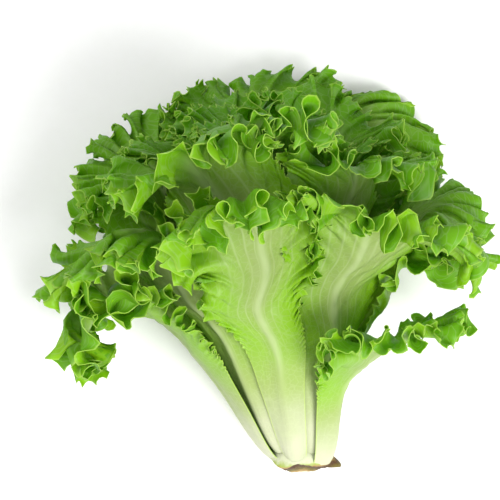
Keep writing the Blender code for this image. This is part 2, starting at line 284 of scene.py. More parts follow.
def outline(leaf, position):
    shoulder, height = head["shoulder"], head["shoulderHeight"]
    side = np.clip((1 - np.abs(position)) / (1 - shoulder), 0, 1)
    top = np.clip((shoulder - np.abs(position)) / shoulder, 0, 1) * math.pi / 2
    stalk, blade = leaf["stalkWidth"], leaf["halfWidth"]
    waist = stalk + (blade - stalk) * smooth(side, *head["waist"])
    onSide = np.abs(position) > shoulder
    across = np.where(onSide, waist, blade * np.cos(top) ** 0.75)
    along = np.where(onSide, height * side, height + (1 - height) * np.sin(top) ** 0.9)
    return np.sign(position) * across, along


def flatPoint(leaf, position, share):
    across, along = outline(leaf, position)
    rib = head["ribShare"] * (1 - np.abs(position)) ** 0.85
    distance = leaf["length"] * (rib + (along - rib) * share)
    return leaf["azimuth"] + across * share**0.9, distance


def marginLength(leaf):
    position = np.linspace(-1, 1, 241)
    azimuth, distance = flatPoint(leaf, position, np.ones_like(position))
    layer = leaf["layer"] + 0 * position
    points = inSpace(*layerPoint(distance, layer, azimuth, leaf["flare"]), azimuth)
    steps = np.linalg.norm(np.diff(points, axis=0), axis=1)
    length = np.concatenate([[0], np.cumsum(steps)])
    return position, length - np.interp(0, position, length)


def lyingPoint(distance, layer, azimuth, flare=0.0):
    return press(drift(inSpace(*layerPoint(distance, layer, azimuth, flare), azimuth)))


def layersOutward(distance, layer, azimuth):
    # From layer 0 to layer 1, were all the space between them as it is here
    step = 0.01
    across = lyingPoint(distance, layer + step, azimuth)
    across = (across - lyingPoint(distance, layer - step, azimuth)) / (2 * step)
    up = unit(lyingPoint(distance + 1, layer, azimuth) - lyingPoint(distance - 1, layer, azimuth))
    return across - np.sum(across * up, axis=-1)[..., None] * up


def leafSurface(leaf, position, share):
    phases, flare = leaf["phases"], leaf["flare"]
    positions, lengths = marginLength(leaf)
    run = np.interp(position, positions, lengths)
    azimuth, distance = flatPoint(leaf, position, share)
    edgeAzimuth, edgeDistance = flatPoint(leaf, position, np.ones_like(share))
    layer = leaf["layer"] + 0 * run
    radius, height = layerPoint(distance, layer, azimuth, flare)
    here = inSpace(radius, height, azimuth)
    edge = inSpace(*layerPoint(edgeDistance, layer, edgeAzimuth, flare), edgeAzimuth)
    inside = np.linalg.norm(here - edge, axis=-1)
    up = distance / leaf["length"]
    turn = 2 * math.pi * run
    phase = turn / head["waveLength"] + phases[0] + head["waveSlant"] * inside
    for (change, length), start in zip(head["waveChanges"], phases[1:3]):
        phase = phase + change * np.sin(turn / length + start)
    onBlade = smooth(up, *head["wavedFrom"])
    swing = np.exp(-((inside / head["waveReach"]) ** 1.4)) * onBlade
    uneven, length = head["waveUneven"]
    swing = swing * (1 - uneven + uneven * np.sin(turn / length + phases[3]))
    (along, length), (upward, cycles) = head["leanings"]
    slow = along * np.sin(turn / length + phases[4]) + upward * np.sin(cycles * up + phases[5])
    slow = slow * share * onBlade
    outward = layersOutward(distance, layer, azimuth)
    spacing = np.linalg.norm(outward, axis=-1)
    room = np.clip(leaf["room"] - head["clearance"] / spacing, 0, None)
    wave = room * np.tanh(head["waveGain"] * (swing * np.sin(phase) + slow))
    fold = -head["foldOver"] * head["waveLength"] * np.sin(2 * phase) * swing
    moved = np.interp(run + fold, lengths, positions)
    azimuth, distance = flatPoint(leaf, moved, share)
    points = lyingPoint(distance, layer + wave, azimuth, flare)
    offset = azimuth - leaf["azimuth"]
    return points, {"run": run, "inside": inside, "up": up, "offset": offset,
                    "across": offset * radius, "along": distance, "toHeart": -unit(outward)}


# The frill, veins and thickness that only the looks have

frill = {
    # Points along the margin, points from midrib to margin, and how many of those are in the frill.
    # The first is one more than a multiple of 8, since the blade keeps every fourth point.
    "outerGrid": (1041, 19, 8),
    "heartGrid": (737, 17, 7),
    "bladeStep": 4,
    "waves": (  # length along the margin in mm, bend in degrees, reach inward in mm, start up the leaf
        (15.0, 48.0, 24.0, (0.44, 0.74)),
        (7.0, 56.0, 8.5, (0.36, 0.60)),
        (4.0, 44.0, 4.0, (0.30, 0.48)),
    ),
    "waveDrifts": ((0.9, 3.7), (0.6, 6.1)),  # radians of a wave's slow changes, and their lengths in waves
    "waveTurn": 0.9,  # radians that a wave's crest turns aside in one wave length inward
    "waveUneven": (0.24, 2.6, 0.08),  # change in a wave's height, its length in waves, its turn inward
    "turnOut": 20.0,  # degrees that the whole margin turns outward
    "overhang": 0.05,  # how far each fold leans over, for its length
    "underBlade": 0.80,  # how much of the frill is pressed flat under another leaf
    "toothLength": 2.7,  # before the waves stretch the margin
    "toothHeight": 3.6,
    "toothWander": (0.45, 23.0),  # in teeth and in mm along the margin
    "toothChange": 8.3,  # mm from one group of big teeth to the next
    "toothInward": 2.6,
    "toothedFrom": (0.34, 0.52),  # share of the leaf's length where the teeth begin
    "edgeHalf": 0.22,
    "ribHalf": 0.55,
    "ribRise": 2.5,  # how far the midrib stands out of the outer face
    "ribWidth": 4.8,
    "fleshy": 1.0,  # how much thicker the stalk is at its root
    "veinsASide": 6,
    "veinWidth": 0.26,  # for the space between two side veins
    "veinRise": 0.5,
    "blister": 0.6,  # the puckers between the veins
    "aboveTable": 0.02,  # the least height of any point, of the stem too
}


def columnPositions(count):
    # Closer together where the margin is frilled, and the same on both sides
    even = np.linspace(-1, 1, count)
    return np.sign(even) * (0.62 * np.abs(even) + 0.38 * even**4)


def rowShares(count):
    # Closer together at the midrib and, more so, at the margin
    return 1 - (1 - np.linspace(0, 1, count) ** 1.25) ** 1.8


def frames(points, at):
    # Near the midrib, where the rows of points crowd together, the direction from layer to layer
    # stands in for the blade's own
    alongRows = unit(np.gradient(points, axis=0))
    alongVein = unit(np.gradient(points, axis=1))
    own = smooth(rowShares(points.shape[1]), 0.10, 0.35)[None, :, None]
    toHeart = own * unit(np.cross(alongRows, alongVein)) + (1 - own) * at["toHeart"]
    toHeart = unit(toHeart - np.sum(toHeart * alongVein, axis=-1)[..., None] * alongVein)
    return np.cross(alongVein, toHeart), toHeart, alongVein


def ruffled(leaf, points, at):
    # Each wave of the frill bends the veins to and fro, so that the margin curls over into cups.
    # A shorter wave rides on the last one and reaches less far in.
    phases, run, inside = leaf["phases"], at["run"], at["inside"]
    size = (0.80 + 0.20 * leaf["layer"] ** 0.5) * min(1.0, leaf["length"] / 190)
    turn = 2 * math.pi * run
    (quick, quickLength), (slow, slowLength) = frill["waveDrifts"]
    change, changeLength, changeTurn = frill["waveUneven"]
    for number, (length, bend, reach, start) in enumerate(frill["waves"]):
        onBlade = smooth(at["up"], *start)
        first, second, third = phases[6 + number], phases[9 + number], phases[12 + number]
        phase = turn / (length * (0.92 + 0.02 * (leaf["number"] % 7))) + first
        phase = phase + quick * np.sin(turn / (length * quickLength) + second)
        phase = phase + slow * np.sin(turn / (length * slowLength) + third)
        phase = phase + frill["waveTurn"] * inside / length
        uneven = np.sin(turn / (length * changeLength) + third + changeTurn * inside)
        uneven = 1 - change + change * uneven
        share = uneven * onBlade * (1 - frill["underBlade"] * at["cover"])
        share = share * np.exp(-((inside / (reach * size)) ** 1.4))
        angle = math.radians(bend) * share * np.sin(phase)
        if number == 0:
            angle = angle - math.radians(frill["turnOut"]) * share
        alongMargin, toHeart, alongVein = frames(points, at)
        steps = np.linalg.norm(np.diff(points, axis=1), axis=-1)
        turned = toHeart * np.sin(angle)[..., None] + alongVein * (np.cos(angle) - 1)[..., None]
        shift = (turned[:, 1:] + turned[:, :-1]) / 2 * steps[..., None]
        points = points + np.concatenate([0 * points[:, :1], np.cumsum(shift, axis=1)], axis=1)
        sideways = frill["overhang"] * length * share * np.sin(2 * phase)
        points = points - alongMargin * sideways[..., None]
    return points


def toothed(leaf, points, at):
    run, phases = at["run"], leaf["phases"]
    turn = 2 * math.pi * run
    wander, length = frill["toothWander"]
    place = run / frill["toothLength"] + phases[15] + wander * np.sin(turn / length + phases[14])
    saw = np.abs(2 * (place - np.floor(place)) - 1) ** 2
    big = 0.35 + 0.65 * (0.5 + 0.5 * np.sin(turn / frill["toothChange"] + phases[13])) ** 2
    out = frill["toothHeight"] * (saw * (0.4 + big) - 0.25)
    out = out * np.exp(-at["inside"] / frill["toothInward"]) * smooth(at["up"], *frill["toothedFrom"])
    _, _, alongVein = frames(points, at)
    return points + alongVein * out[..., None]


def localWidth(leaf, up):
    widening = smooth(up, 0.29, head["shoulderHeight"])
    return leaf["stalkWidth"] + (leaf["halfWidth"] - leaf["stalkWidth"]) * widening


def veinField(leaf, at):
    # Counts up by one from each side vein to the next. The veins rise together in the stalk and
    # fan out in the blade, and the two sides don't quite match.
    across = at["offset"] / localWidth(leaf, at["up"])
    wander = 0.10 * np.sin(at["along"] / 13 + leaf["phases"][11])
    return frill["veinsASide"] * np.abs(across) ** 0.85 + (0.28 + wander) * np.tanh(4 * across)


def coverOf(leaf, leaves, at):
    # How far each point lies under the blade of a leaf outside it: 1 is all covered
    cover = np.zeros_like(at["up"])
    for other in leaves:
        if other["layer"] <= leaf["layer"]:
            continue
        lower = (other["layer"] - leaf["layer"]) * head["stemLength"]
        reach = (at["along"] + lower) / other["length"]
        apart = leaf["azimuth"] + at["offset"] - other["azimuth"]
        apart = np.abs((apart + math.pi) % (2 * math.pi) - math.pi)
        width = localWidth(other, reach)
        over = smooth(apart / width, 1.12, 0.86) * smooth(reach, 1.0, 0.84)
        cover = np.maximum(cover, over)
    return cover


def blistered(leaf, points, at):
    # Soft puckers between the veins of the blade
    _, toHeart, _ = frames(points, at)
    x, y = at["across"], at["along"]
    one, two = leaf["phases"][7], leaf["phases"][8]
    bumps = np.sin(x / 1.9 + 0.8 * np.sin(y / 4.3 + one)) * np.sin(y / 2.7 + 0.9 * np.sin(x / 3.1 + two))
    bumps = bumps + 0.8 * np.sin(x / 4.7 + y / 9.1 + two) * np.sin(y / 6.9 - x / 8.3 + one)
    bumps = bumps * frill["blister"] * smooth(at["up"], 0.25, 0.55) * smooth(at["inside"], 1.5, 9.0)
    return points + toHeart * bumps[..., None]


def gridQuads(number):
    corners = [number[:-1, :-1], number[1:, :-1], number[1:, 1:], number[:-1, 1:]]
    return np.stack(corners, axis=-1).reshape(-1, 4)


def leafFaces(number, inFrill):
    # The blade keeps every fourth point along the margin and the frill keeps them all, with a
    # seam of triangles between the two
    step = frill["bladeStep"]
    seamRow = number.shape[1] - inFrill
    blade = number[::step, :seamRow]
    near, far = blade[:-1, -1], blade[1:, -1]
    fine = [number[k:len(number) - step + k:step, seamRow] for k in range(step + 1)]
    seam = [(near, far, fine[step // 2])]
    for k in range(step):
        seam.append((near if k < step // 2 else far, fine[k + 1], fine[k]))
    triangles = np.concatenate([np.stack(corners, axis=-1) for corners in seam])
    return np.concatenate([gridQuads(blade), gridQuads(number[:, seamRow:])]), triangles


def leafMesh(leaf, leaves):
    inHeart = leaf["number"] >= head["heartFrom"]
    count, depth, inFrill = frill["heartGrid" if inHeart else "outerGrid"]
    position, share = np.meshgrid(columnPositions(count), rowShares(depth), indexing="ij")
    points, at = leafSurface(leaf, position, share)
    points[:, 0] = (points[:, 0] + points[::-1, 0]) / 2
    at["cover"] = coverOf(leaf, leaves, at)
    points = toothed(leaf, ruffled(leaf, blistered(leaf, points, at), at), at)
    points[:, 0] = (points[:, 0] + points[::-1, 0]) / 2

    # The two halves of the leaf share the points of the midrib
    number = np.arange(count * depth).reshape(count, depth)
    number[count // 2:, 0] = number[: (count + 1) // 2, 0][::-1]
    sheet = points.reshape(-1, 3)
    everyQuad = gridQuads(number)
    corners = [sheet[everyQuad[:, k]] for k in range(4)]
    facing = np.cross(corners[2] - corners[0], corners[3] - corners[1])
    normals = np.zeros_like(sheet)
    for k in range(4):
        np.add.at(normals, everyQuad[:, k], facing)

    quads, triangles = leafFaces(number, inFrill)
    used = np.unique(np.concatenate([quads.reshape(-1), triangles.reshape(-1)]))
    place = np.zeros(count * depth, dtype=int)
    place[used] = np.arange(len(used))
    quads, triangles, number = place[quads], place[triangles], place[number]
    sheet, normals = sheet[used], unit(normals[used])

    values = {name: at[name].reshape(-1)[used] for name in ("up", "inside", "across", "along")}
    values["vein"] = veinField(leaf, at).reshape(-1)[used]
    young = 0.45 + 0.55 * min(leaf["layer"], 1.0)
    rib = np.exp(-((values["across"] / (frill["ribWidth"] * (1.15 - 0.7 * values["up"]))) ** 2))
    rib = rib * (1 - smooth(values["up"], 0.1, 0.95)) * young
    half = frill["edgeHalf"] + (frill["ribHalf"] - frill["edgeHalf"]) * rib
    vein = values["vein"] - np.round(values["vein"])
    vein = np.exp(-((vein / frill["veinWidth"]) ** 2))
    vein = vein * smooth(values["inside"], 4, 30) * smooth(values["up"], 0.02, 0.15)
    fleshy = frill["fleshy"] * (1 - smooth(values["up"], 0.08, 0.34)) * smooth(values["inside"], 0, 5)
    outer = half + frill["ribRise"] * rib + frill["veinRise"] * vein * young + fleshy

    # The normals point to the head's heart, so the rib stands out on the other face
    everything = np.concatenate([sheet + normals * half[:, None], sheet - normals * outer[:, None]])
    everything[:, 2] = np.maximum(everything[:, 2], frill["aboveTable"])
    size = len(sheet)
    loop = np.concatenate([number[:, -1], number[-1, -2::-1], number[0, 1:-1]])
    following = np.roll(loop, -1)
    rim = np.stack([loop, following, following + size, loop + size], axis=-1)
    faces = []
    for group in (quads, quads[:, ::-1] + size, triangles, triangles[:, ::-1] + size, rim):
        faces += group.tolist()
    layer = np.full(size, leaf["layer"])
    fields = {
        "leafMap": np.stack([values["across"], values["along"], layer * 500], axis=-1),
        "leafPlace": np.stack([values["up"], values["inside"], values["vein"]], axis=-1),
        "leafSide": np.stack([0 * layer, layer, 0 * layer], axis=-1),
    }
    fields = {name: np.concatenate([value, value]) for name, value in fields.items()}
    fields["leafSide"][size:, 0] = 1
    return everything, faces, loop, fields


def addPiece(name, points, faces, material):
    mesh = bpy.data.meshes.new(name)
    mesh.from_pydata(((points + toFrame) * mm).tolist(), [], [list(face) for face in faces])
    mesh.materials.append(material)
    mesh.shade_smooth()
    piece = bpy.data.objects.new(name, mesh)
    bpy.context.scene.collection.objects.link(piece)
    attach(piece, "root")
    return piece


def keepValues(mesh, name, values):
    stored = mesh.attributes.new(name, "FLOAT_VECTOR", "POINT")
    stored.data.foreach_set("vector", values.astype(np.float32).reshape(-1))


def sharpenLoop(mesh, loop, size):
    # The thin rim of a leaf keeps its own shading
    onRim = np.zeros(2 * size, dtype=bool)
    onRim[loop] = True
    onRim[loop + size] = True
    ends = np.zeros(2 * len(mesh.edges), dtype=np.int32)
    mesh.edges.foreach_get("vertices", ends)
    sharp = onRim[ends].reshape(-1, 2).all(axis=1)
    stored = mesh.attributes.new("sharp_edge", "BOOLEAN", "EDGE")
    stored.data.foreach_set("value", sharp)


# The stem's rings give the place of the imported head's frame

def stemRings():
    sides, heights = head["stemSides"], head["stemHeights"]
    radii = [head["cutRadius"] - head["cutBevel"], head["cutRadius"]]
    radii += [float(stemRadius(height)) for height in heights[2:]]
    angles = np.arange(sides) / sides * 2 * math.pi
    return np.concatenate([
        inSpace(np.full(sides, radius), np.full(sides, height), angles)
        for radius, height in zip(radii, heights)
    ])


rings = stemRings()
low, high = (np.array(corner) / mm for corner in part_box("stem"))
toFrame = ((low - rings.min(axis=0)) + (high - rings.max(axis=0))) / 2
toFrame[2] = 0
report(f"head placed, shift {toFrame.round(2)}")


# Materials

maths, remap, mixer = "ShaderNodeMath", "ShaderNodeMapRange", "ShaderNodeMix"


def linear(hexColour):
    values = [int(hexColour[k:k + 2], 16) / 255 for k in (1, 3, 5)]
    return [v / 12.92 if v <= 0.04045 else ((v + 0.055) / 1.055) ** 2.4 for v in values] + [1.0]


def addNode(tree, kind, settings=None, **links):
    node = tree.nodes.new(kind)
    for name, value in (settings or {}).items():
        if isinstance(name, int) or name in node.inputs:
            node.inputs[name].default_value = value
        else:
            setattr(node, name, value)
    for name, source in links.items():
        key = int(name[2:]) if name.startswith("in") and name[2:].isdigit() else name.replace("_", " ")
        tree.links.new(source, node.inputs[key])
    return node


leafLook = {
    "base": "#cdd1ae",  # palest, where the stalk joins the stem
    "stalk": "#bec897",
    "blade": "#a9bf6c",
    "frill": "#95cd18",
    "heart": "#62ab0e",
    "inner": "#66a912",  # the face towards the heart is the deeper green
    "vein": "#d8e5b0",
    # painted highlight for the very edge of the margin, where it catches the light
    "rim": "#c8e468",
    "glow": "#aadc24",  # light that comes through the blade
    "greenReach": 70.0,  # mm in from the margin where the green has gone
    "cellSize": 4.2,  # mm between the fine veins
    "ior": 1.42,
}


def leafTissue():
    # Living lettuce leaf: watery, thin and waxy, so light comes through the frill and the pale
    # stalk shines softly
    material = bpy.data.materials.new("living lettuce leaf")
    material.use_nodes = True
    tree = material.node_tree
    tree.nodes.clear()
    place = addNode(tree, "ShaderNodeAttribute", {"attribute_name": "leafPlace"})
    place = addNode(tree, "ShaderNodeSeparateXYZ", Vector=place.outputs["Vector"])
    up, inside, vein = place.outputs
    side = addNode(tree, "ShaderNodeAttribute", {"attribute_name": "leafSide"})
    side = addNode(tree, "ShaderNodeSeparateXYZ", Vector=side.outputs["Vector"])
    outerFace, layer = side.outputs[0], side.outputs[1]
    leafMap = addNode(tree, "ShaderNodeAttribute", {"attribute_name": "leafMap"}).outputs["Vector"]

    # Green deepens towards the margin, unevenly
    patches = addNode(tree, "ShaderNodeTexNoise", {"Scale": 1 / 16, "Detail": 4.0}, Vector=leafMap)
    nearMargin = addNode(
        tree, remap,
        {"interpolation_type": "SMOOTHSTEP", "From Min": leafLook["greenReach"], "From Max": 6.0},
        Value=inside,
    )
    upLeaf = addNode(
        tree, remap, {"interpolation_type": "SMOOTHSTEP", "From Min": 0.02, "From Max": 0.5}, Value=up
    )
    green = addNode(tree, maths, {"operation": "MULTIPLY"}, in0=nearMargin.outputs[0], in1=upLeaf.outputs[0])
    bladeGreen = addNode(tree, maths, {"operation": "MULTIPLY", 1: 0.42}, in0=upLeaf.outputs[0])
    green = addNode(tree, maths, {"operation": "MULTIPLY_ADD", 1: 0.53}, in0=green.outputs[0],
                    in2=bladeGreen.outputs[0])
    shifted = addNode(tree, maths, {"operation": "MULTIPLY_ADD", 1: 0.24, 2: -0.12},
                      in0=patches.outputs["Fac"])
    green = addNode(tree, maths, {"operation": "ADD"}, in0=green.outputs[0], in1=shifted.outputs[0])
    ramp = addNode(tree, "ShaderNodeValToRGB", in0=green.outputs[0])
    stops = ramp.color_ramp.elements
    stops[0].position, stops[0].color = 0.0, linear(leafLook["base"])
    stops[1].position, stops[1].color = 0.95, linear(leafLook["frill"])
    for position, name in ((0.16, "stalk"), (0.45, "blade")):
        stop = stops.new(position)
        stop.color = linear(leafLook[name])

    # Younger leaves of the heart are a deeper green, and so is the face towards the heart
    heartShare = addNode(tree, remap, {"From Min": 0.75, "From Max": 0.25, "To Max": 0.75}, Value=layer)
    heartShare = addNode(tree, maths, {"operation": "MULTIPLY"}, in0=heartShare.outputs[0],
                         in1=nearMargin.outputs[0])
    colour = addNode(tree, mixer, {"data_type": "RGBA", 7: linear(leafLook["heart"])},
                     in0=heartShare.outputs[0], in6=ramp.outputs["Color"])
    innerShare = addNode(tree, remap, {"From Min": 1.0, "From Max": 0.0, "To Max": 0.7}, Value=outerFace)
    innerShare = addNode(tree, maths, {"operation": "MULTIPLY"}, in0=innerShare.outputs[0],
                         in1=nearMargin.outputs[0])
    colour = addNode(tree, mixer, {"data_type": "RGBA", 7: linear(leafLook["inner"])},
                     in0=innerShare.outputs[0], in6=colour.outputs[2])

    # Pale side veins fan up the blade and are lost in the frill
    nearest = addNode(tree, maths, {"operation": "ADD", 1: 0.5}, in0=vein)
    nearest = addNode(tree, maths, {"operation": "FRACT"}, in0=nearest.outputs[0])
    nearest = addNode(tree, maths, {"operation": "SUBTRACT", 1: 0.5}, in0=nearest.outputs[0])
    nearest = addNode(tree, maths, {"operation": "ABSOLUTE"}, in0=nearest.outputs[0])
    veins = addNode(
        tree, remap,
        {"interpolation_type": "SMOOTHSTEP", "From Min": 0.16, "From Max": 0.0, "To Max": 0.55},
        Value=nearest.outputs[0],
    )
    veins = addNode(tree, maths, {"operation": "MULTIPLY"}, in0=veins.outputs[0], in1=patches.outputs["Fac"])
    awayFromMargin = addNode(
        tree, remap, {"interpolation_type": "SMOOTHSTEP", "From Min": 10.0, "From Max": 40.0},
        Value=inside,
    )
    veins = addNode(tree, maths, {"operation": "MULTIPLY"}, in0=veins.outputs[0],
                    in1=awayFromMargin.outputs[0])
    cells = addNode(
        tree, "ShaderNodeTexVoronoi",
        {"feature": "DISTANCE_TO_EDGE", "Scale": 1 / leafLook["cellSize"]},
        Vector=leafMap,
    )
    netting = addNode(
        tree, remap, {"interpolation_type": "SMOOTHSTEP", "From Min": 0.10, "From Max": 0.0, "To Max": 0.14},
        Value=cells.outputs["Distance"],
    )
    acrossLeaf = addNode(tree, "ShaderNodeSeparateXYZ", Vector=leafMap).outputs[0]
    acrossLeaf = addNode(tree, maths, {"operation": "ABSOLUTE"}, in0=acrossLeaf)
    midrib = addNode(
        tree, remap, {"interpolation_type": "SMOOTHSTEP", "From Min": 4.0, "From Max": 0.5, "To Max": 0.5},
        Value=acrossLeaf.outputs[0],
    )
    midrib = addNode(tree, maths, {"operation": "MULTIPLY"}, in0=midrib.outputs[0],
                     in1=awayFromMargin.outputs[0])
    allVeins = addNode(tree, maths, {"operation": "MAXIMUM"}, in0=veins.outputs[0], in1=netting.outputs[0])
    allVeins = addNode(tree, maths, {"operation": "MAXIMUM"}, in0=allVeins.outputs[0], in1=midrib.outputs[0])
    colour = addNode(tree, mixer, {"data_type": "RGBA", 7: linear(leafLook["vein"])},
                     in0=allVeins.outputs[0], in6=colour.outputs[2])

    # The very edge gets a painted highlight: a pale band where the thin margin catches the light
    edge = addNode(
        tree, remap, {"interpolation_type": "SMOOTHSTEP", "From Min": 0.9, "From Max": 0.0, "To Max": 0.6},
        Value=inside,
    )
    colour = addNode(tree, mixer, {"data_type": "RGBA", 7: linear(leafLook["rim"])},
                     in0=edge.outputs[0], in6=colour.outputs[2])

    # Fine lines along the stalk
    lines = addNode(tree, "ShaderNodeMapping", {"Scale": (0.9, 0.035, 1.0)}, Vector=leafMap)
    lines = addNode(tree, "ShaderNodeTexNoise", {"Detail": 3.0, "Scale": 1.0}, Vector=lines.outputs["Vector"])
    onStalk = addNode(tree, remap, {"From Min": 0.65, "From Max": 0.35}, Value=up)
    lines = addNode(tree, maths, {"operation": "MULTIPLY"}, in0=lines.outputs["Fac"], in1=onStalk.outputs[0])
    relief = addNode(tree, maths, {"operation": "ADD"}, in0=lines.outputs[0], in1=allVeins.outputs[0])
    bump = addNode(tree, "ShaderNodeBump", {"Strength": 0.5, "Distance": 0.0006}, Height=relief.outputs[0])
    rough = addNode(tree, remap, {"To Min": 0.34, "To Max": 0.52}, Value=patches.outputs["Fac"])
    skin = addNode(
        tree, "ShaderNodeBsdfPrincipled", {"IOR": leafLook["ior"]},
        Base_Color=colour.outputs[2], Roughness=rough.outputs[0], Normal=bump.outputs["Normal"],
    )
    through = addNode(tree, mixer, {"data_type": "RGBA", 0: 0.4, 7: linear(leafLook["glow"])},
                      in6=colour.outputs[2])
    glow = addNode(tree, "ShaderNodeBsdfTranslucent", Color=through.outputs[2], Normal=bump.outputs["Normal"])
    thin = addNode(tree, remap, {"From Min": 0.05, "From Max": 0.6, "To Min": 0.12, "To Max": 0.42}, Value=up)
    leaf = addNode(tree, "ShaderNodeMixShader", in0=thin.outputs[0], in1=skin.outputs[0], in2=glow.outputs[0])
    addNode(tree, "ShaderNodeOutputMaterial", Surface=leaf.outputs[0])
    return material


leafMaterial = leafTissue()
leaves = leafTable()
for leaf in leaves:
    points, faces, loop, fields = leafMesh(leaf, leaves)
    piece = addPiece("curly_" + leaf["name"], points, faces, leafMaterial)
    for name, values in fields.items():
        keepValues(piece.data, name, values)
    sharpenLoop(piece.data, loop, len(points) // 2)
    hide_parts(leaf["name"])
report(f"{len(leaves)} leaves made")


# The stem, trimmed with a few strokes of a knife, with the wound turning brown

stemLook = {
    "sides": 168,
    "faceRings": 22,
    "sideRings": 54,
    "collarRise": 3.4,  # mm that the leaf bases swell the stem
    "bulge": 2.6,  # mm that the cut end stands out of the root end
    "strokes": ((95.0, 6.0, 0.95), (165.0, 8.5, 1.05), (28.0, 10.0, 0.6), (255.0, 11.0, 0.5)),
    "stubAzimuth": 12.0,  # an old leaf base, torn off beside the cut
    "stubReach": 8.5,
    "face": "#e6d3a8",
    "ring": "#b08f50",
    "bruise": "#4f3415",
    "side": "#cfd3b2",
    "green": "#a3b452",
    "olive": "#6f6422",
}


def ripple(x, y, z, seed):
    # A sum of sines that looks uneven and is the same each run
    draw = np.random.default_rng(seed)
    total = 0 * x
    for octave in range(4):
        ways = draw.normal(size=(3, 3)) * 0.55 * 1.9**octave
        starts = draw.uniform(0, 2 * math.pi, 3)
        for way, start in zip(ways, starts):
            total = total + np.sin(way[0] * x + way[1] * y + way[2] * z + start) / 1.7**octave
    return total / 4


def stemProfile(azimuth, share):
    # Height along the axis and radius, from the middle of the cut (0) over its rim (1) to the tip (2)
    c, s = np.cos(azimuth), np.sin(azimuth)
    towardStub = azimuth - math.radians(stemLook["stubAzimuth"])
    towardStub = np.abs((towardStub + math.pi) % (2 * math.pi) - math.pi)
    stub = np.exp(-((towardStub / 0.26) ** 2))
    rim = head["cutRadius"] + 0.9 * ripple(4 * c, 4 * s, 0 * c, 3)
    onFace = np.clip(share, 0, 1)
    radius = rim * onFace
    cut = 0 * share - stemLook["bulge"]
    for direction, start, slope in stemLook["strokes"]:
        turned = radius * np.cos(azimuth - math.radians(direction))
        cut = np.logaddexp(cut * 1.6, (slope * (turned - start) - stemLook["bulge"]) * 1.6) / 1.6
    cut = cut + 0.45 * ripple(radius * c, radius * s, 0 * c, 5) * smooth(onFace, 0.0, 0.5)
    ragged = 1.1 * ripple(5 * c, 5 * s, 0 * c, 8) * smooth(onFace, 0.82, 1.0)
    up = np.clip(share - 1, 0, 1)
    height = cut + ragged * (1 - smooth(up, 0, 0.1)) + (head["stemLength"] - cut) * up**1.5
    side = stemRadius(height) + stemLook["collarRise"] * smooth(height, 0.5, 5) * (1 - smooth(height, 8, 22))
    side = side + 0.5 * ripple(5 * c, 5 * s, height / 3, 11) * smooth(height, 1, 4)
    radius = radius + (side - rim) * smooth(up, 0.0, 0.16)
    flap = stub * stemLook["stubReach"] * smooth(share, 0.86, 1.0) * (1 - smooth(up, 0.05, 0.20))
    return height - 0.25 * flap, radius + flap


def stemMesh():
    face = np.linspace(0, 1, stemLook["faceRings"]) ** 0.8
    side = 1 + np.linspace(0, 1, stemLook["sideRings"])[1:] ** 1.2
    shares = np.concatenate([face[1:], side])
    angles = np.arange(stemLook["sides"]) / stemLook["sides"] * 2 * math.pi
    azimuth, share = np.meshgrid(angles, shares)
    height, radius = stemProfile(azimuth, share)
    points = inSpace(radius, height, azimuth).reshape(-1, 3)
    rings, sides = share.shape
    number = np.arange(rings * sides).reshape(rings, sides)
    after = np.roll(number, -1, axis=1)
    quads = np.stack([after[:-1], number[:-1], number[1:], after[1:]], axis=-1).reshape(-1, 4)
    ends = []
    for ring, order in ((0, 1), (rings - 1, -1)):
        middle = len(points)
        points = np.concatenate([points, points[number[ring]].mean(axis=0)[None]])
        pair = [number[ring], after[ring]][::order]
        ends.append(np.stack([np.full(sides, middle), *pair], axis=-1))
    points[:, 2] = np.maximum(points[:, 2], frill["aboveTable"])
    place = np.stack([share, height, radius / head["cutRadius"]], axis=-1).reshape(-1, 3)
    place = np.concatenate([place, [[0, 0, 0], [2, head["stemLength"], 0]]])
    local = np.stack([radius * np.cos(azimuth), radius * np.sin(azimuth), height], axis=-1).reshape(-1, 3)
    local = np.concatenate([local, [[0, 0, 0], [0, 0, head["stemLength"]]]])
    return points, quads.tolist() + ends[0].tolist() + ends[1].tolist(), place, local


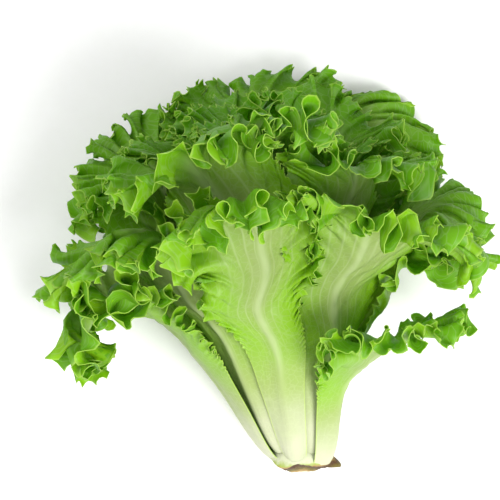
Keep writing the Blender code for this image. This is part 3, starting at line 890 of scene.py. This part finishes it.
def stemTissue():
    # Cut lettuce stem: wet cream pith inside a tan ring, with a brown dry skin where it was cut
    # first, and pale green where the leaf bases clasp it
    material = bpy.data.materials.new("trimmed lettuce stem")
    material.use_nodes = True
    tree = material.node_tree
    tree.nodes.clear()
    place = addNode(tree, "ShaderNodeAttribute", {"attribute_name": "stemPlace"})
    place = addNode(tree, "ShaderNodeSeparateXYZ", Vector=place.outputs["Vector"])
    share, height, radius = place.outputs
    local = addNode(tree, "ShaderNodeAttribute", {"attribute_name": "stemMap"}).outputs["Vector"]
    blotch = addNode(tree, "ShaderNodeTexNoise", {"Scale": 1 / 3.2, "Detail": 5.0}, Vector=local)
    fine = addNode(tree, "ShaderNodeTexNoise", {"Scale": 1.6, "Detail": 3.0}, Vector=local)
    sideways = addNode(tree, "ShaderNodeMapping", {"Scale": (1.1, 1.1, 0.12)}, Vector=local)
    fibres = addNode(tree, "ShaderNodeTexNoise", {"Scale": 1.0, "Detail": 4.0},
                     Vector=sideways.outputs["Vector"])

    # The cut face: cream pith, a tan ring, an olive ring and a brown rim
    waved = addNode(tree, maths, {"operation": "MULTIPLY_ADD", 1: 0.30, 2: -0.15},
                    in0=blotch.outputs["Fac"])
    cutShare = addNode(tree, maths, {"operation": "ADD"}, in0=share, in1=waved.outputs[0])
    ramp = addNode(tree, "ShaderNodeValToRGB", in0=cutShare.outputs[0])
    stops = ramp.color_ramp.elements
    stops[0].position, stops[0].color = 0.35, linear(stemLook["face"])
    stops[1].position, stops[1].color = 0.88, linear(stemLook["bruise"])
    for position, name in ((0.55, "ring"), (0.72, "olive")):
        stop = stops.new(position)
        stop.color = linear(stemLook[name])

    # The side: brown at the rim, then tan, then green, then pale, with brown specks low down
    rimward = addNode(tree, maths, {"operation": "MULTIPLY_ADD", 1: 6.0}, in0=blotch.outputs["Fac"],
                      in2=height)
    sideRamp = addNode(tree, remap, {"From Min": 4.0, "From Max": 16.0}, Value=rimward.outputs[0])
    sideRamp = addNode(tree, "ShaderNodeValToRGB", in0=sideRamp.outputs[0])
    stops = sideRamp.color_ramp.elements
    stops[0].position, stops[0].color = 0.22, linear(stemLook["bruise"])
    stops[1].position, stops[1].color = 0.78, linear(stemLook["side"])
    for position, name in ((0.38, "ring"), (0.54, "green")):
        stop = stops.new(position)
        stop.color = linear(stemLook[name])
    isSide = addNode(tree, maths, {"operation": "GREATER_THAN", 1: 1.0}, in0=share)
    colour = addNode(tree, mixer, {"data_type": "RGBA"}, in0=isSide.outputs[0],
                     in6=ramp.outputs["Color"], in7=sideRamp.outputs["Color"])
    stub = addNode(tree, remap, {"From Min": 1.08, "From Max": 1.35, "To Max": 0.9}, Value=radius)
    lowDown = addNode(tree, remap, {"From Min": 3.0, "From Max": 0.5}, Value=height)
    stub = addNode(tree, maths, {"operation": "MULTIPLY"}, in0=stub.outputs[0], in1=lowDown.outputs[0])
    colour = addNode(tree, mixer, {"data_type": "RGBA", 7: linear(stemLook["olive"])},
                     in0=stub.outputs[0], in6=colour.outputs[2])
    specks = addNode(tree, remap, {"From Min": 0.60, "From Max": 0.72, "To Max": 0.55},
                     Value=fine.outputs["Fac"])
    fading = addNode(tree, remap, {"From Min": 6.0, "From Max": 1.0}, Value=height)
    specks = addNode(tree, maths, {"operation": "MULTIPLY"}, in0=specks.outputs[0],
                     in1=fading.outputs[0])
    colour = addNode(tree, mixer, {"data_type": "RGBA", 7: linear(stemLook["bruise"])},
                     in0=specks.outputs[0], in6=colour.outputs[2])
    relief = addNode(tree, maths, {"operation": "ADD"}, in0=fibres.outputs["Fac"],
                     in1=fine.outputs["Fac"])
    bump = addNode(tree, "ShaderNodeBump", {"Strength": 0.6, "Distance": 0.0008}, Height=relief.outputs[0])
    rough = addNode(tree, remap, {"To Min": 0.38, "To Max": 0.75}, Value=blotch.outputs["Fac"])
    skin = addNode(tree, "ShaderNodeBsdfPrincipled", {"IOR": 1.4}, Base_Color=colour.outputs[2],
                   Roughness=rough.outputs[0], Normal=bump.outputs["Normal"])
    addNode(tree, "ShaderNodeOutputMaterial", Surface=skin.outputs[0])
    return material


points, faces, place, local = stemMesh()
piece = addPiece("trimmed_stem", points, faces, stemTissue())
keepValues(piece.data, "stemPlace", place)
keepValues(piece.data, "stemMap", local)
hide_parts("stem")
report("stem made")


# The stage: a pale table, soft light from above and to the right, and the photograph's view

stage = {
    "pixel": 0.60,  # mm of the head for one pixel of the photograph
    "frame": 500,  # pixels
    "cameraHeight": 1.5,  # m
    "sharpHeight": 0.09,  # m above the table, where the pixel's size holds
    "viewCentre": (-9.0, 12.0),  # mm
    "tableHalf": 3.0,  # m
    "floor": "#fcfcfb",
    "grain": "#ffffff",
    "aim": (0.0, 0.0, 0.08),  # m, where the lights point
    "lights": {  # place and size in m, power in W
        "window": ((0.75, -0.7, 1.35), 0.9, 33.0),
        "fill": ((-0.9, 0.3, 1.2), 1.2, 13.0),
    },
    "roomLight": 0.5,
}


def makeStage():
    mesh = bpy.data.meshes.new("table")
    half = stage["tableHalf"]
    corners = [(-half, -half, 0), (half, -half, 0), (half, half, 0), (-half, half, 0)]
    mesh.from_pydata(corners, [], [(0, 1, 2, 3)])
    table = bpy.data.objects.new("table", mesh)
    bpy.context.scene.collection.objects.link(table)
    # Matt white card: it gives a soft shadow and no reflection
    card = bpy.data.materials.new("matt white card")
    card.use_nodes = True
    tree = card.node_tree
    shader = tree.nodes["Principled BSDF"]
    shader.inputs["Roughness"].default_value = 0.9
    grain = addNode(tree, "ShaderNodeTexNoise", {"Scale": 900.0, "Detail": 2.0})
    tone = addNode(
        tree, mixer,
        {"data_type": "RGBA", 6: linear(stage["floor"]), 7: linear(stage["grain"])},
        in0=grain.outputs["Fac"],
    )
    tree.links.new(tone.outputs[2], shader.inputs["Base Color"])
    mesh.materials.append(card)


def addLight(name, place, size, power):
    light = bpy.data.lights.new(name, "AREA")
    light.size = size
    light.energy = power
    lamp = bpy.data.objects.new(name, light)
    lamp.location = place
    direction = np.array(stage["aim"]) - np.array(place)
    lamp.rotation_euler = (
        math.acos(-direction[2] / np.linalg.norm(direction)),
        0.0,
        math.atan2(direction[1], direction[0]) - math.pi / 2,
    )
    bpy.context.scene.collection.objects.link(lamp)


makeStage()
for name, light in stage["lights"].items():
    addLight(name, *light)
world = bpy.data.worlds.new("soft white room")
bpy.context.scene.world = world
world.use_nodes = True
background = world.node_tree.nodes["Background"]
background.inputs["Color"].default_value = (1.0, 1.0, 1.0, 1.0)
background.inputs["Strength"].default_value = stage["roomLight"]
bpy.context.scene.view_settings.view_transform = "Standard"  # keeps the greens as bright as they are

lens = bpy.data.cameras.new("from above")
camera = bpy.data.objects.new("from above", lens)
camera.location = (stage["viewCentre"][0] * mm, stage["viewCentre"][1] * mm, stage["cameraHeight"])
width = stage["pixel"] * stage["frame"] * mm
lens.lens = lens.sensor_width * (stage["cameraHeight"] - stage["sharpHeight"]) / width
bpy.context.scene.collection.objects.link(camera)
bpy.context.scene.camera = camera
report("stage set")
